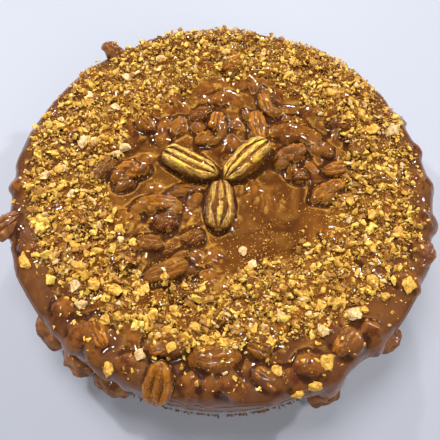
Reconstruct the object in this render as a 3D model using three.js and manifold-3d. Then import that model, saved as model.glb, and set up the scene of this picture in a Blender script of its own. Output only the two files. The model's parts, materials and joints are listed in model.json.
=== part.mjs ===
// Pecan pie: a crumb base and a tall filling inside a clear collar, under a
// thick caramel layer set with pecan halves. Millimetres, +Z up, the base
// rests on z = 0, -Y is the front.
import * as THREE from 'three';
import { mergeVertices } from 'three/addons/utils/BufferGeometryUtils.js';
import Module from 'manifold-3d';

const cakeRadius = 113.2;
const crustHeight = 6;
const fillingTop = 51;
const clearance = 0.3;
const collarThickness = 0.4;
const collarTop = 50.4;
const caramelTop = 58;
const caramelOuter = 117;
const shoulderRadius = 8;
const bearingSteps = 64;
const nutSeat = 0.4;

const collarInner = cakeRadius + clearance;
const collarOuter = collarInner + collarThickness;
const caramelInner = collarOuter + clearance;
const caramelFloor = fillingTop + clearance;

const degree = Math.PI / 180;
const swell = (distance, width) => Math.exp(-((distance / width) ** 2));
const turnApart = (a, b) => ((a - b + 540) % 360) - 180;

// Where the caramel has run down the side: bearing, half width in degrees,
// height of its lower end.
const drips = [
  [-95, 2.6, 46], [-88.5, 4, 45], [-73, 4, 45], [-60, 5, 27], [-47, 7, 42],
  [-22, 7, 40], [-4, 6, 34], [14, 8, 42], [33, 5, 36], [52, 7, 43],
  [71, 5, 33], [88, 8, 42], [107, 5, 35], [126, 7, 42], [146, 5, 32],
  [165, 8, 41], [184, 5, 36], [196, 6, 41], [-128, 5, 36], [-121.5, 4, 40],
  [-113, 5, 38], [-109, 3.5, 40], [-132.5, 4, 38], [-43.5, 3, 37], [-65, 3, 36],
];
// Stretches where the caramel stops at the rim: bearing, half width.
const bareStretches = [[-80, 3], [-147, 10], [-35, 4]];
// Nuts hidden in the rim push the caramel outwards: bearing, half width, swell.
const rimSwells = [
  [-60, 4, 4], [-19, 5, 1.8], [-8, 4, 1.2], [3, 5, 1.4], [36, 4, 2.2],
  [48, 4, 2.4], [58, 4, 2], [-87, 5, 1.4], [-75, 4, 1.2], [-45, 6, 1],
  [100, 5, 1.6], [141, 5, 1.8], [163, 5, 1.5], [196, 4, 2.4], [226, 6, 1.4],
];
// Nuts wholly under the caramel lift its top: x, y, reach, rise.
const topSwells = [
  [0, -96, 10, 3.4], [40, 36, 9, 2.4], [-68, 18, 8, 2], [35, -58, 8, 1.6],
  [-36, 35, 6, 2], [-15, 45, 6, 2], [5, 26, 6, 1.4], [-31, 56, 6, 1.4],
  [-40, -70, 9, 1.8], [14, 70, 8, 2], [62, -30, 9, 1.2], [-80, -30, 9, 1.8],
  [-62, 55, 10, 2.2], [66, 62, 10, 2.2], [-5, 92, 10, 2], [88, -10, 8, 1.8],
  [30, -80, 9, 1.8], [-60, -60, 8, 1.4], [-88, 30, 8, 2], [-5, -55, 8, 1.2],
];

const lowerEdge = (bearing) => {
  const wave = 2 * Math.sin(7 * bearing * degree) + 1.4 * Math.sin(13 * bearing * degree);
  const drawn = drips.reduce((edge, [at, half, low]) => {
    const reach = Math.exp(-(Math.abs(turnApart(bearing, at) / half) ** 3));
    return Math.min(edge, 48.5 + wave / 2 - (48.5 - low) * reach);
  }, 50);
  return bareStretches.reduce((edge, [at, half]) => {
    const held = Math.min(1, Math.max(0, (half + 3 - Math.abs(turnApart(bearing, at))) / 3));
    return edge + (collarTop + 0.4 - edge) * held;
  }, drawn);
};

const outerRadius = (bearing) => rimSwells.reduce(
  (radius, [at, half, rise]) => radius + rise * swell(turnApart(bearing, at), half),
  caramelOuter - 0.3 + 0.4 * Math.sin(9 * bearing * degree),
);

const topHeight = (x, y) => {
  const ripple = 0.5 * Math.sin(x / 11 + 1) * Math.cos(y / 9) + 0.3 * Math.sin((x + y) / 6);
  return topSwells.reduce(
    (height, [sx, sy, reach, rise]) => height + rise * swell(Math.hypot(x - sx, y - sy), reach),
    caramelTop - 0.6 + ripple,
  );
};

// A closed skin from rings of points running from the middle of the top,
// round the rim, and back to the middle of the underside.
const closedSkin = (rings, first, last) => {
  const count = rings[0].length;
  const points = [first, ...rings.flat(), last];
  const faces = [];
  const at = (ring, step) => 1 + ring * count + (step % count);
  for (let step = 0; step < count; step += 1) {
    faces.push(0, at(0, step), at(0, step + 1));
    for (let ring = 0; ring + 1 < rings.length; ring += 1) {
      faces.push(at(ring, step), at(ring + 1, step), at(ring + 1, step + 1));
      faces.push(at(ring, step), at(ring + 1, step + 1), at(ring, step + 1));
    }
    faces.push(points.length - 1, at(rings.length - 1, step + 1), at(rings.length - 1, step));
  }
  const geometry = new THREE.BufferGeometry();
  geometry.setAttribute('position', new THREE.Float32BufferAttribute(points.flat(), 3));
  geometry.setIndex(faces);
  return geometry;
};

const caramelBody = () => {
  const profile = (bearing) => {
    const cos = Math.cos(bearing * degree);
    const sin = Math.sin(bearing * degree);
    const outer = outerRadius(bearing);
    const edge = lowerEdge(bearing);
    const path = [];
    for (let r = 11; r < 108; r += 13.5) path.push([r, topHeight(r * cos, r * sin)]);
    const rimHeight = topHeight(109 * cos, 109 * sin);
    for (const rise of [82, 56, 30, 6]) {
      path.push([
        outer - shoulderRadius * (1 - Math.cos(rise * degree)),
        rimHeight - shoulderRadius * (1 - Math.sin(rise * degree)) * 0.9,
      ]);
    }
    const waist = rimHeight - shoulderRadius;
    if (edge > waist - 1.5) path[path.length - 1][1] = Math.max(path[path.length - 1][1], edge + 1);
    path.push([outer, Math.max(edge + 1.2, Math.min(waist - 0.6, (waist + edge) / 2))]);
    path.push([outer - 0.5, edge + 0.7]);
    path.push([outer - 1.3, edge]);
    path.push([caramelInner, Math.min(edge + 0.4, caramelFloor - 0.3)]);
    path.push([caramelInner, caramelFloor]);
    return path.map(([r, z]) => [r * cos, r * sin, z]);
  };
  const columns = Array.from({ length: bearingSteps }, (_, i) => profile((i * 360) / bearingSteps));
  const rings = columns[0].map((_, ring) => columns.map((column) => column[ring]));
  return closedSkin(rings, [0, 0, topHeight(0, 0)], [0, 0, caramelFloor]);
};

// A pecan half lying along X, its rounded two-grooved back up, one end fuller.
const pecanSection = [
  [1, 0.05], [0.84, 0.66], [0.4, 0.76], [0, 1], [-0.4, 0.76], [-0.84, 0.66], [-1, 0.05], [0, -0.62],
];
const pecanHalf = (length, width, height) => {
  const stations = [0.86, 0.5, 0, -0.5, -0.86];
  const rings = stations.map((u) => {
    const breadth = (width / 2) * (1 - Math.abs(u) ** 2.4) ** 0.55 * (1 + 0.12 * u);
    const depth = (height / 2) * (1 - Math.abs(u) ** 2.6) ** 0.6;
    return pecanSection.map(([side, up]) => [(u * length) / 2, side * breadth, up * depth]);
  });
  return closedSkin(rings, [length / 2, 0, 0], [-length / 2, 0, 0]);
};

// A broken lump of nut: a flattened many-sided stone, no two faces alike.
const nutLump = (length, width, height) => {
  const geometry = new THREE.IcosahedronGeometry(1, 0);
  geometry.deleteAttribute('normal');
  geometry.deleteAttribute('uv');
  const merged = mergeVertices(geometry);
  const place = merged.getAttribute('position');
  for (let i = 0; i < place.count; i += 1) {
    const push = 0.5 + 0.08 * Math.sin(i * 2.4);
    place.setXYZ(i, place.getX(i) * push * length, place.getY(i) * push * width, place.getZ(i) * push * height);
  }
  return merged;
};

const seated = (geometry, { x, y, z, turn = 0, tilt = 0, roll = 0 }) => {
  const pose = new THREE.Matrix4().makeTranslation(x, y, z)
    .multiply(new THREE.Matrix4().makeRotationZ(turn * degree))
    .multiply(new THREE.Matrix4().makeRotationY(-tilt * degree))
    .multiply(new THREE.Matrix4().makeRotationX(roll * degree));
  return geometry.applyMatrix4(pose);
};

// The three gilded halves meet in a Y at the middle.
const gildedPecans = [
  { x: -18.7, y: 9.2, z: 61.1, turn: 153, tilt: -4, size: [33.5, 14, 10] },
  { x: 12.6, y: 13, z: 61.9, turn: 47, tilt: 5, size: [33, 14, 10] },
  { x: -1.4, y: -15.6, z: 61.2, turn: -90, tilt: -4, size: [28, 15, 10] },
];

// Glazed halves and pieces showing through the caramel: centre x, y, height of
// the centre, turn, tilt, length, width, thickness.
const glazedPecans = [
  [18.5, 38, 58, 99, 2, 21, 11, 8], [22.5, 54.5, 58, -70, 0, 17, 8, 7],
  [40, 34.5, 57.4, -5, 0, 26, 9, 8], [37, 20.5, 58.6, 25, 6, 19, 10, 8],
  [-12, 27.5, 58, 30, 0, 11, 8, 7], [-5.5, 40.5, 58.3, 80, 6, 12, 9, 7],
  [-17, 43.5, 57.6, 20, 0, 10, 8, 6], [-45.5, 35.5, 58, -45, 0, 12, 8, 7],
  [2, 82, 58.6, 20, 5, 12, 9, 8], [-25, 70, 57.8, 80, 0, 13, 6, 6],
  [-20.5, -5.5, 57.4, 5, 0, 14, 6, 6], [-34.5, -15.5, 58, 2, 0, 24, 9, 8],
  [-29, -26.5, 58.3, 20, 5, 13, 11, 8], [-36.5, -38, 57.8, -5, 0, 14, 9, 7],
  [-13, -34.5, 57.6, 40, 0, 10, 8, 7], [-26, -53.5, 58.6, 22, 4, 23, 11, 9],
  [-12.5, -63.5, 57.8, -2, 0, 17, 8, 7], [-49, -49, 58, 40, 0, 15, 11, 8],
  [4, -74, 58, 60, 0, 14, 8, 7], [20, -61.5, 57.6, -50, 0, 22, 7, 7],
  [-23, -91.5, 58.6, 30, -4, 17, 9, 8], [1, -96.5, 59.6, 8, -6, 19, 14, 9],
  [21, -91, 58.4, -20, 0, 12, 9, 8], [25, -104, 56.4, -30, -8, 14, 9, 7],
  [63, -84.5, 56.6, 50, 4, 17, 11, 9], [-56, -86.5, 57, -60, -6, 17, 9, 8],
  [-68, 3, 58.2, 60, 0, 13, 10, 8], [-53.5, 2.5, 58.6, 45, 6, 17, 12, 8],
  [61.5, 11.5, 58.4, 15, 0, 13, 9, 8], [56, 24.5, 58, -30, 0, 12, 9, 7],
  [57, -2.5, 58.2, 35, 4, 22, 9, 8], [42, 6, 57.8, 10, 0, 10, 8, 7],
  [67.5, 42.5, 58, -10, 0, 15, 9, 8], [75, 27, 58.2, 80, 0, 14, 10, 8],
  [84, 7.5, 58, 20, 0, 12, 9, 8], [-99, -39, 57, -70, -6, 13, 10, 8],
];

// Halves caught on the rim and side: bearing, distance out, height, turn from
// the bearing, tilt, roll, length, width, thickness.
const rimPecans = [
  [-103.2, 111.6, 56.2, 0, -44, 0, 24, 15, 9], [-165, 117.3, 52.5, 20, -14, 0, 19, 13, 9],
  [129, 113.2, 58, 30, 24, 0, 17, 9, 8], [-18.5, 113.6, 54.6, 70, -6, 35, 15, 11, 8],
  [-137, 118.3, 31, 90, -10, 78, 21, 12, 12], [-126.6, 118, 27, 90, 12, 78, 20, 12, 12],
  [-115.8, 117.4, 31, 90, -6, 76, 21, 12, 10], [-39.8, 118.3, 31, 80, -6, 78, 18, 12, 12],
  [-61.8, 118.8, 33, 90, 12, 72, 17, 12, 12],
];

// The largest broken lumps of the gilded and plain topping.
const lumps = [
  [53, -94.5, 20, 9, 8, 6], [96, 39.5, 70, 10, 8, 6], [-104, 10, 100, 11, 6, 6],
  [-99, -52.5, 115, 11, 6, 5], [96, -55, 10, 9, 8, 7], [67, -70.5, -40, 9, 7, 5],
  [84, 40, 10, 9, 7, 5], [-57, 18, -20, 9, 7, 5],
];

const wasm = await Module();
wasm.setup();

const toSolid = (geometry) => {
  const bare = geometry.clone();
  bare.deleteAttribute('normal');
  bare.deleteAttribute('uv');
  const merged = mergeVertices(bare, 1e-4);
  return new wasm.Manifold(new wasm.Mesh({
    numProp: 3,
    vertProperties: new Float32Array(merged.getAttribute('position').array),
    triVerts: new Uint32Array(merged.index.array),
  }));
};

const toGeometry = (solid) => {
  const mesh = solid.getMesh();
  const geometry = new THREE.BufferGeometry();
  geometry.setAttribute('position', new THREE.Float32BufferAttribute(Array.from(mesh.vertProperties), 3));
  geometry.setIndex(Array.from(mesh.triVerts));
  return geometry;
};

const pieces = [];
const cutters = [];
const addNut = (name, form, size, pose) => {
  pieces.push([name, seated(form(...size), pose)]);
  cutters.push(seated(form(...size.map((side) => side + 2 * nutSeat)), pose));
};

gildedPecans.forEach((nut, i) => addNut(`gilded_pecan_${i + 1}`, pecanHalf, nut.size, nut));
glazedPecans.forEach(([x, y, z, turn, tilt, ...size], i) => {
  addNut(`glazed_pecan_${i + 1}`, pecanHalf, size, { x, y, z, turn, tilt });
});
rimPecans.forEach(([bearing, out, z, turn, tilt, roll, ...size], i) => {
  addNut(`rim_pecan_${i + 1}`, pecanHalf, size, {
    x: out * Math.cos(bearing * degree), y: out * Math.sin(bearing * degree), z, turn: bearing + turn, tilt, roll,
  });
});
lumps.forEach(([x, y, turn, ...size], i) => {
  const drop = Math.max(0, Math.hypot(x, y) - (caramelOuter - shoulderRadius));
  const z = topHeight(x, y) - 0.12 * drop ** 2 + size[2] * 0.22;
  addNut(`nut_chunk_${i + 1}`, nutLump, size, { x, y, z, turn });
});

const seats = wasm.Manifold.union(cutters.map(toSolid));
const caramel = toSolid(caramelBody()).subtract(seats);

const roundPlate = (radius, low, high, soft) => new THREE.LatheGeometry([
  [0, low], [radius - soft, low], [radius, low + soft], [radius, high - soft], [radius - soft, high], [0, high],
].map(([r, z]) => new THREE.Vector2(r, z)), bearingSteps).rotateX(Math.PI / 2);

// The collar's two ends pass each other at the front left, the outer end
// springing away from the side.
const collar = () => {
  const start = -149;
  const path = [];
  for (let step = 0; step <= 81; step += 1) {
    const bearing = start + 4.5 * step;
    const past = Math.max(0, bearing - (start + 353));
    const out = 0.9 * Math.min(1, past / 7) + 0.06 * Math.max(0, past - 8) ** 2;
    path.push([bearing, collarInner + collarThickness / 2 + out]);
  }
  const side = (offset) => path.map(([bearing, r]) => [
    (r + offset) * Math.cos(bearing * degree), (r + offset) * Math.sin(bearing * degree),
  ]);
  const outline = [...side(collarThickness / 2), ...side(-collarThickness / 2).reverse()];
  const shape = new THREE.Shape(outline.map(([x, y]) => new THREE.Vector2(x, y)));
  return new THREE.ExtrudeGeometry(shape, { depth: collarTop - clearance, bevelEnabled: false, steps: 1 })
    .translate(0, 0, clearance);
};

const looks = {
  crust: new THREE.MeshStandardMaterial({ color: 0x7a4f2c, roughness: 0.9 }),
  filling: new THREE.MeshStandardMaterial({ color: 0x9a6a48, roughness: 0.7 }),
  collar: new THREE.MeshStandardMaterial({ color: 0xe8eef2, roughness: 0.1, transparent: true, opacity: 0.25 }),
  caramel: new THREE.MeshStandardMaterial({ color: 0x7d4f22, roughness: 0.2 }),
  gilded: new THREE.MeshStandardMaterial({ color: 0xc59a48, roughness: 0.4, metalness: 0.4 }),
  glazed: new THREE.MeshStandardMaterial({ color: 0x8a4a1c, roughness: 0.2 }),
  rim: new THREE.MeshStandardMaterial({ color: 0x7a4c22, roughness: 0.25 }),
  nut: new THREE.MeshStandardMaterial({ color: 0xc9a050, roughness: 0.6 }),
};

const group = new THREE.Group();
const add = (name, geometry) => {
  const mesh = new THREE.Mesh(geometry, looks[name.split('_')[0]].clone());
  mesh.name = name;
  group.add(mesh);
};
add('crust', roundPlate(cakeRadius, 0, crustHeight, 0.8));
add('filling', toGeometry(toSolid(roundPlate(cakeRadius, crustHeight + clearance, fillingTop, 1.2)).subtract(seats)));
add('collar', collar());
add('caramel', toGeometry(caramel));
pieces.forEach(([name, geometry]) => add(name, geometry));

export default group;
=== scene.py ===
import json
import random
from functools import partialmethod
from math import cos, hypot, pi, radians, sin

import bmesh
import bpy
import numpy as np
from mathutils import Matrix, Vector, noise

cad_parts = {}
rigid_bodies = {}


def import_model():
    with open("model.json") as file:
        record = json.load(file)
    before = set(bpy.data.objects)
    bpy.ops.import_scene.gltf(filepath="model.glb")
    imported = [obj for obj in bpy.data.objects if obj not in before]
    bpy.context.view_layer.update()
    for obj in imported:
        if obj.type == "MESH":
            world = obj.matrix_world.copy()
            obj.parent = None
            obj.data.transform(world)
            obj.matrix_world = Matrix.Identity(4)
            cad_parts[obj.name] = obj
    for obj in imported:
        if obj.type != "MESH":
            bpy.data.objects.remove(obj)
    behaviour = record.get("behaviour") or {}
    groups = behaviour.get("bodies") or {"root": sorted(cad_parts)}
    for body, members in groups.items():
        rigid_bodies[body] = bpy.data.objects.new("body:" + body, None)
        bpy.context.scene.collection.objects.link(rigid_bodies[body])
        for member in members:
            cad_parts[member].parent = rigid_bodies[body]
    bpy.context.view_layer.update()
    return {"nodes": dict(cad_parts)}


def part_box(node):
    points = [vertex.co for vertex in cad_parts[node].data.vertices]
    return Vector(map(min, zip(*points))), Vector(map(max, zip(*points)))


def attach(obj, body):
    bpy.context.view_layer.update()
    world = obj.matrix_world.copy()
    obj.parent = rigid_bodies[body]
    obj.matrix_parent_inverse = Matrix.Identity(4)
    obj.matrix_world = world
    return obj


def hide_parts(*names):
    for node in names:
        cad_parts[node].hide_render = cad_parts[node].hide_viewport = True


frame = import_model()
mm = 0.001


def boxOf(node):
    low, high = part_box(node)
    return np.array(low) / mm, np.array(high) / mm


def addObject(name, data):
    made = bpy.data.objects.new(name, data)
    bpy.context.scene.collection.objects.link(made)
    return made


def makePiece(name, points, faces, nodes=(), values=None, smooth=True):
    mesh = bpy.data.meshes.new(name)
    mesh.from_pydata((np.asarray(points) * mm).tolist(), [], faces)
    mesh.validate()
    for key, numbers in (values or {}).items():
        layer = mesh.attributes.new(key, 'FLOAT', 'POINT')
        layer.data.foreach_set('value', np.asarray(numbers, dtype=np.float32))
    mesh.polygons.foreach_set('use_smooth', [smooth] * len(mesh.polygons))
    piece = addObject(name, mesh)
    settle(piece, nodes)
    return piece


def settle(piece, nodes=()):
    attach(piece, "root")
    if nodes:
        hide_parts(*nodes)


def stripFaces(rings, count, start=0):
    # quads between neighbouring closed rings of `count` points
    step = np.arange(count)
    after = (step + 1) % count
    faces = []
    for ring in range(rings - 1):
        low = start + ring * count
        high = low + count
        faces += np.stack([low + step, high + step, high + after, low + after], 1).tolist()
    return faces


def swell(distance, width):
    return np.exp(-(distance / width) ** 2)


def aroundAxis(reach, turn, height):
    # places by their distance and bearing from the middle axis
    return np.stack(np.broadcast_arrays(reach * np.cos(turn), reach * np.sin(turn), height), -1)


def turnApart(a, b):
    return (a - b + 540) % 360 - 180


def waves(x, y, size, seed, octaves=3):
    # soft unevenness between about -1 and 1, from sums of turned ripples
    draw = np.random.RandomState(seed)
    total = np.zeros_like(x)
    for octave in range(octaves):
        for _ in range(5):
            turn, phase = draw.uniform(0, 2 * pi, 2)
            reach = size * draw.uniform(0.7, 1.4) / 1.9 ** octave
            along = x * cos(turn) + y * sin(turn)
            total += np.sin(along * 2 * pi / reach + phase) / 1.7 ** octave
    return total / 4.2


class Wire:
    # a shader socket that can stand in a sum
    def __init__(self, paint, socket):
        self.paint, self.socket = paint, socket

    def combine(self, operation, *others, **settings):
        inputs = dict(enumerate((self, *others)))
        return self.paint.node('ShaderNodeMath', {'operation': operation, **settings}, inputs)

    __add__ = __radd__ = partialmethod(combine, 'ADD')
    __sub__ = partialmethod(combine, 'SUBTRACT')
    __mul__ = __rmul__ = partialmethod(combine, 'MULTIPLY')
    __truediv__ = partialmethod(combine, 'DIVIDE')
    __pow__ = partialmethod(combine, 'POWER')

    def __rsub__(self, other):
        return self.paint.node('ShaderNodeMath', {'operation': 'SUBTRACT'}, {0: other, 1: self})

    def clamp(self):
        return self.combine('ADD', 0.0, use_clamp=True)


class Paint:
    # one material: its nodes are made and joined as its methods are called
    def __init__(self, name):
        self.material = bpy.data.materials.new(name)
        self.material.use_nodes = True
        self.tree = self.material.node_tree
        self.shader = self.tree.nodes['Principled BSDF']
        self.place = self.node('ShaderNodeTexCoord', {}, {}, 'Object')

    def node(self, kind, settings, inputs, output=0):
        made = self.tree.nodes.new(kind)
        for key, value in settings.items():
            setattr(made, key, value)
        for key, value in inputs.items():
            self.feed(self.find(made.inputs, key), value)
        return Wire(self, self.find(made.outputs, output))

    @staticmethod
    def find(sockets, key):
        if isinstance(key, int):
            return sockets[key]
        for socket in sockets:
            if socket.identifier == key:
                return socket
        return sockets[key]

    def feed(self, socket, value):
        if isinstance(value, Wire):
            self.tree.links.new(value.socket, socket)
        elif isinstance(value, tuple) and len(value) == 3 and socket.type == 'RGBA':
            socket.default_value = (*value, 1)
        else:
            socket.default_value = value

    def attribute(self, name):
        return self.node('ShaderNodeAttribute', {'attribute_name': name}, {}, 'Fac')

    def noise(self, scale, detail=2.0, roughness=0.5, place=None, stretch=None, distortion=0.0):
        place = place or self.place
        if stretch:
            place = self.node('ShaderNodeMapping', {}, {'Vector': place, 'Scale': stretch})
        return self.node('ShaderNodeTexNoise', {}, {
            'Vector': place, 'Scale': scale, 'Detail': detail, 'Roughness': roughness,
            'Distortion': distortion})

    def streaks(self, length, width, detail=3.0):
        # lines running the length of a nut: their usual length and width in millimetres
        place = self.node('ShaderNodeCombineXYZ', {}, {
            'X': self.attribute('along') / length, 'Y': self.attribute('across') / width})
        return self.noise(1.0, detail, 0.6, place)

    def ramp(self, factor, low, high):
        return self.node('ShaderNodeMapRange', {'clamp': True}, {
            'Value': factor, 'From Min': low, 'From Max': high})

    def mix(self, factor, first, second):
        return self.node('ShaderNodeMix', {'data_type': 'RGBA'}, {
            'Factor_Float': factor, 'A_Color': first, 'B_Color': second}, 'Result_Color')

    def blend(self, factor, low, high, first, second):
        # from the first colour to the second while the factor goes from low to high
        return self.mix(self.ramp(factor, low, high), tint(*first), tint(*second))

    def over(self, body, *layers):
        # each layer: how much of it shows, then its colour
        for factor, *colour in layers:
            body = self.mix(factor, body, tint(*colour))
        return body

    def bump(self, height, strength, distance):
        inputs = {'Height': height, 'Strength': strength, 'Distance': distance}
        return self.node('ShaderNodeBump', {}, inputs)

    def finish(self, **inputs):
        names = {'color': 'Base Color', 'ior': 'IOR'}
        for key, value in inputs.items():
            self.feed(self.shader.inputs[names.get(key, key.capitalize())], value)
        return self.material


def tint(red, green, blue):
    # screen colour 0..255 to the shader's linear colour
    return tuple(((c / 255 + 0.055) / 1.055) ** 2.4 if c > 10 else c / 3295 for c in (red, green, blue))


def ripples(points, size, seed, octaves=2):
    # soft unevenness in space, between about -1 and 1
    draw = np.random.RandomState(seed)
    total = np.zeros(len(points))
    for octave in range(octaves):
        for _ in range(6):
            way = draw.normal(0, 1, 3)
            way /= np.linalg.norm(way)
            reach = size * draw.uniform(0.75, 1.4) / 2.0 ** octave
            total += np.sin(points @ way * 2 * pi / reach + draw.uniform(0, 2 * pi)) / 1.7 ** octave
    return total / 3.6


# a pecan half, as shares of its half width, half length or half thickness
pecanForm = {
    'grooveDepth': 0.46, 'faintDepth': 0.16, 'faintWidth': 0.045, 'faintAt': (-0.8, -0.58, 0.58, 0.8),
    'gather': 0.3,   # how far the grooves close in towards the ends
    'lobe': 0.1, 'edgeWave': 0.035, 'bend': 0.03, 'furrowDepth': 0.4, 'foldDepth': 0.34,
    'under': 0.62,   # depth of the underside against the back
}


def readNut(node):
    # the middle, axes and size of a nut's solid: its ends are its two points furthest apart
    mesh = frame['nodes'][node].data
    points = np.zeros(len(mesh.vertices) * 3)
    mesh.vertices.foreach_get('co', points)
    points = np.unique(np.round(points.reshape(-1, 3) / mm, 3), axis=0)
    gaps = np.linalg.norm(points[:, None] - points[None], axis=2)
    first, second = np.unravel_index(gaps.argmax(), gaps.shape)
    tail, head = points[first], points[second]
    length = gaps.max()
    long = (head - tail) / length
    spread = points - (head + tail) / 2
    flat = spread - np.outer(spread @ long, long)
    _, _, axes = np.linalg.svd(flat, full_matrices=False)
    wide, up = axes[0], axes[1]
    rise = spread @ up
    if rise.max() + rise.min() < 0:
        up, rise = -up, -rise
    if (np.abs(flat @ wide) * (spread @ long)).sum() < 0:
        long = -long
    wide = np.cross(up, long)
    width = np.ptp(spread @ wide)
    return {'node': node, 'middle': (head + tail) / 2, 'axes': np.array([long, wide, up]),
            'size': np.array([length, width, rise.max() * 2])}


def nutsNamed(prefix):
    names = [name for name in frame['nodes'] if name.startswith(prefix)]
    return [readNut(name) for name in sorted(names, key=lambda name: int(name.rsplit('_', 1)[1]))]


def pecanMesh(nut, seed, crinkle=0.0, blunt=2.6, egg=0.1, lumpy=0.3, mesh=(34, 40), tone=0.5,
              groovesAt=0.28, groovesWide=0.085):
    # a half with two long grooves in its back; crinkle turns it to the lobed inner face
    form = pecanForm
    phases = np.random.RandomState(seed).uniform(0, 2 * pi, 12)
    stations, around = mesh
    u = np.sin(np.linspace(-pi / 2, pi / 2, stations + 2)[1:-1])
    v = np.linspace(0, 2 * pi, around, endpoint=False)
    u, v = np.meshgrid(u, v, indexing='ij')
    length, width, height = nut['size']
    bend = form['bend'] * sin(phases[0])
    ruffle = np.sin(7 * u + phases[1]) + 0.6 * np.sin(15 * u + phases[2] + np.sign(np.cos(v)))
    breadth = width / 2 * (1 - np.abs(u) ** blunt) ** 0.5 * (1 + egg * u) * (1 + form['edgeWave'] * ruffle)
    depth = height / 2 * (1 - np.abs(u) ** (blunt + 0.4)) ** 0.5 * (1 + 0.5 * egg * u)
    side, rise = np.cos(v), np.sin(v)
    top = rise > 0
    gather = 1 - form['gather'] * np.abs(u) ** 3
    strength = np.clip((1 - np.abs(u)) / 0.05, 0, 1) * top
    groove, faint = np.zeros_like(u), np.zeros_like(u)
    for k, sign in enumerate((-1, 1)):
        middle = sign * groovesAt * gather + 0.035 * np.sin(4 * u + phases[3 + k])
        groove += swell(side - middle, groovesWide * (1 + 0.3 * np.sin(5 * u + phases[5 + k])))
    for k, at in enumerate(form['faintAt']):
        middle = at * gather + 0.05 * np.sin(5 * u + phases[k])
        faint += swell(side - middle, form['faintWidth']) * (0.5 + 0.5 * np.sin(4 * u + phases[k + 5]))
    groove, faint = groove * strength, faint * strength
    lobe = form['lobe'] * swell(np.abs(side) - 0.64, 0.2) * top
    folds = np.abs(np.sin(6.5 * u + 1.6 * np.sin(5 * side + phases[9]) + phases[10]))
    furrow = swell(side - 0.05 * np.sin(5 * u + phases[11]), 0.15) * top
    relief = 1 + lobe - (1 - crinkle) * (form['grooveDepth'] * groove + form['faintDepth'] * faint) \
        - crinkle * (form['furrowDepth'] * furrow + form['foldDepth'] * (1 - folds) * top)
    lift = np.sign(rise) * np.abs(rise) ** 0.78
    upward = np.where(top, lift * depth * relief, form['under'] * rise * depth)
    sideways = side * breadth + bend * length * (1 - u ** 2)
    local = np.stack([u * length / 2, sideways, upward], -1).reshape(-1, 3)
    local = np.vstack([local, [[-length / 2, 0, 0], [length / 2, 0, 0]]])
    rough = lumpy * ripples(local + seed * 17.3, 7.5, seed) + 0.12 * ripples(local, 2.6, seed + 1)
    way = local / (nut['size'] / 2) ** 2
    way /= np.maximum(np.linalg.norm(way, axis=1, keepdims=True), 1e-6)
    local = local + way * rough[:, None]
    points = local @ nut['axes'] + nut['middle']
    faces = [face[::-1] for face in stripFaces(stations, around)]
    tail, head = stations * around, stations * around + 1
    last = (stations - 1) * around
    for step in range(around):
        after = (step + 1) % around
        faces.append([tail, after, step])
        faces.append([head, last + step, last + after])
    dark = (1 - crinkle) * (groove + 0.4 * faint) + crinkle * (furrow + (1 - folds) ** 2 * top)
    # under: 1 on the underside and towards the outer edges of the top; the finishes paint shade there, and
    # the gilded nuts also show bare shell there
    under = np.where(top, np.clip(np.abs(side) * 4 - 3.1, 0, 1), 1.0)
    values = {
        'dark': np.append(np.clip(dark, 0, 1).ravel(), [0.6, 0.6]),
        'under': np.append(under.ravel(), [0.6, 0.6]),
        'tone': np.full(len(points), tone),
        'along': np.append((u * length / 2).ravel(), [-length / 2, length / 2]) + seed * 31,
        'across': np.append((side * breadth).ravel(), [0, 0]),
    }
    return points, faces, values


def joinParts(parts):
    points, faces, values, start = [], [], {}, 0
    for somePoints, someFaces, someValues in parts:
        points.append(somePoints)
        faces += [[index + start for index in face] for face in someFaces]
        start += len(somePoints)
        for key, numbers in someValues.items():
            values.setdefault(key, []).append(numbers)
    return np.vstack(points), faces, {key: np.concatenate(numbers) for key, numbers in values.items()}


gildedNuts = nutsNamed('gilded_pecan')
glazedNuts = nutsNamed('glazed_pecan')
rimNuts = nutsNamed('rim_pecan')
chunkNuts = nutsNamed('nut_chunk')
print('nuts read', len(gildedNuts), len(glazedNuts), len(rimNuts), len(chunkNuts))


collarLow, collarHigh = boxOf('collar')
fillingLow, fillingHigh = boxOf('filling')
caramelShape = {
    'cells': 236, 'discRadius': 108.0, 'outer': 116.8, 'inner': 114.25, 'top': 56.9,
    'shoulder': 8.5, 'shoulderRings': 12, 'wallRings': 14, 'floor': fillingHigh[2] + 0.3,
    'edge': 48.5, 'lip': 1.3,            # usual height of the lower edge, and its rounding
    'blend': 0.75, 'softBlend': 0.95,    # how softly it pools against a nut, on the top and over the rim
    'reach': (-1.5, 13.0),               # how far the skin may sink and a nut may push it out
    'drips': [                           # bearing, half width in degrees, height of the lower end
        (-95, 2.6, 46), (-88.5, 4, 45), (-73, 4, 45), (-60, 5, 27), (-47, 7, 42), (-22, 7, 40),
        (-4, 6, 34), (14, 8, 42), (33, 5, 36), (52, 7, 43), (71, 5, 33), (88, 8, 42), (107, 5, 35),
        (126, 7, 42), (146, 5, 32), (165, 8, 41), (184, 5, 36), (196, 6, 41), (-128, 5, 36),
        (-121.5, 4, 40), (-113, 5, 38), (-109, 3.5, 40), (-132.5, 4, 36), (-43.5, 3, 36), (-65, 3, 35)],
    'bare': [(-80, 3), (-149, 9), (-34, 3.5)],      # bearing and half width where it stops at the rim
    'rimSwells': [                       # bearing, half width in degrees, how far the rim stands out
        (-60, 4, 3.4), (-19, 5, 1.8), (-8, 4, 1.2), (3, 5, 1.4), (36, 4, 2.2), (48, 4, 2.4), (58, 4, 2),
        (-75, 4, 0.8), (-45, 6, 1), (100, 5, 1.0), (141, 5, 1.2), (163, 5, 1.2), (196, 4, 2.0),
        (226, 6, 1.4)],
}
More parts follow.
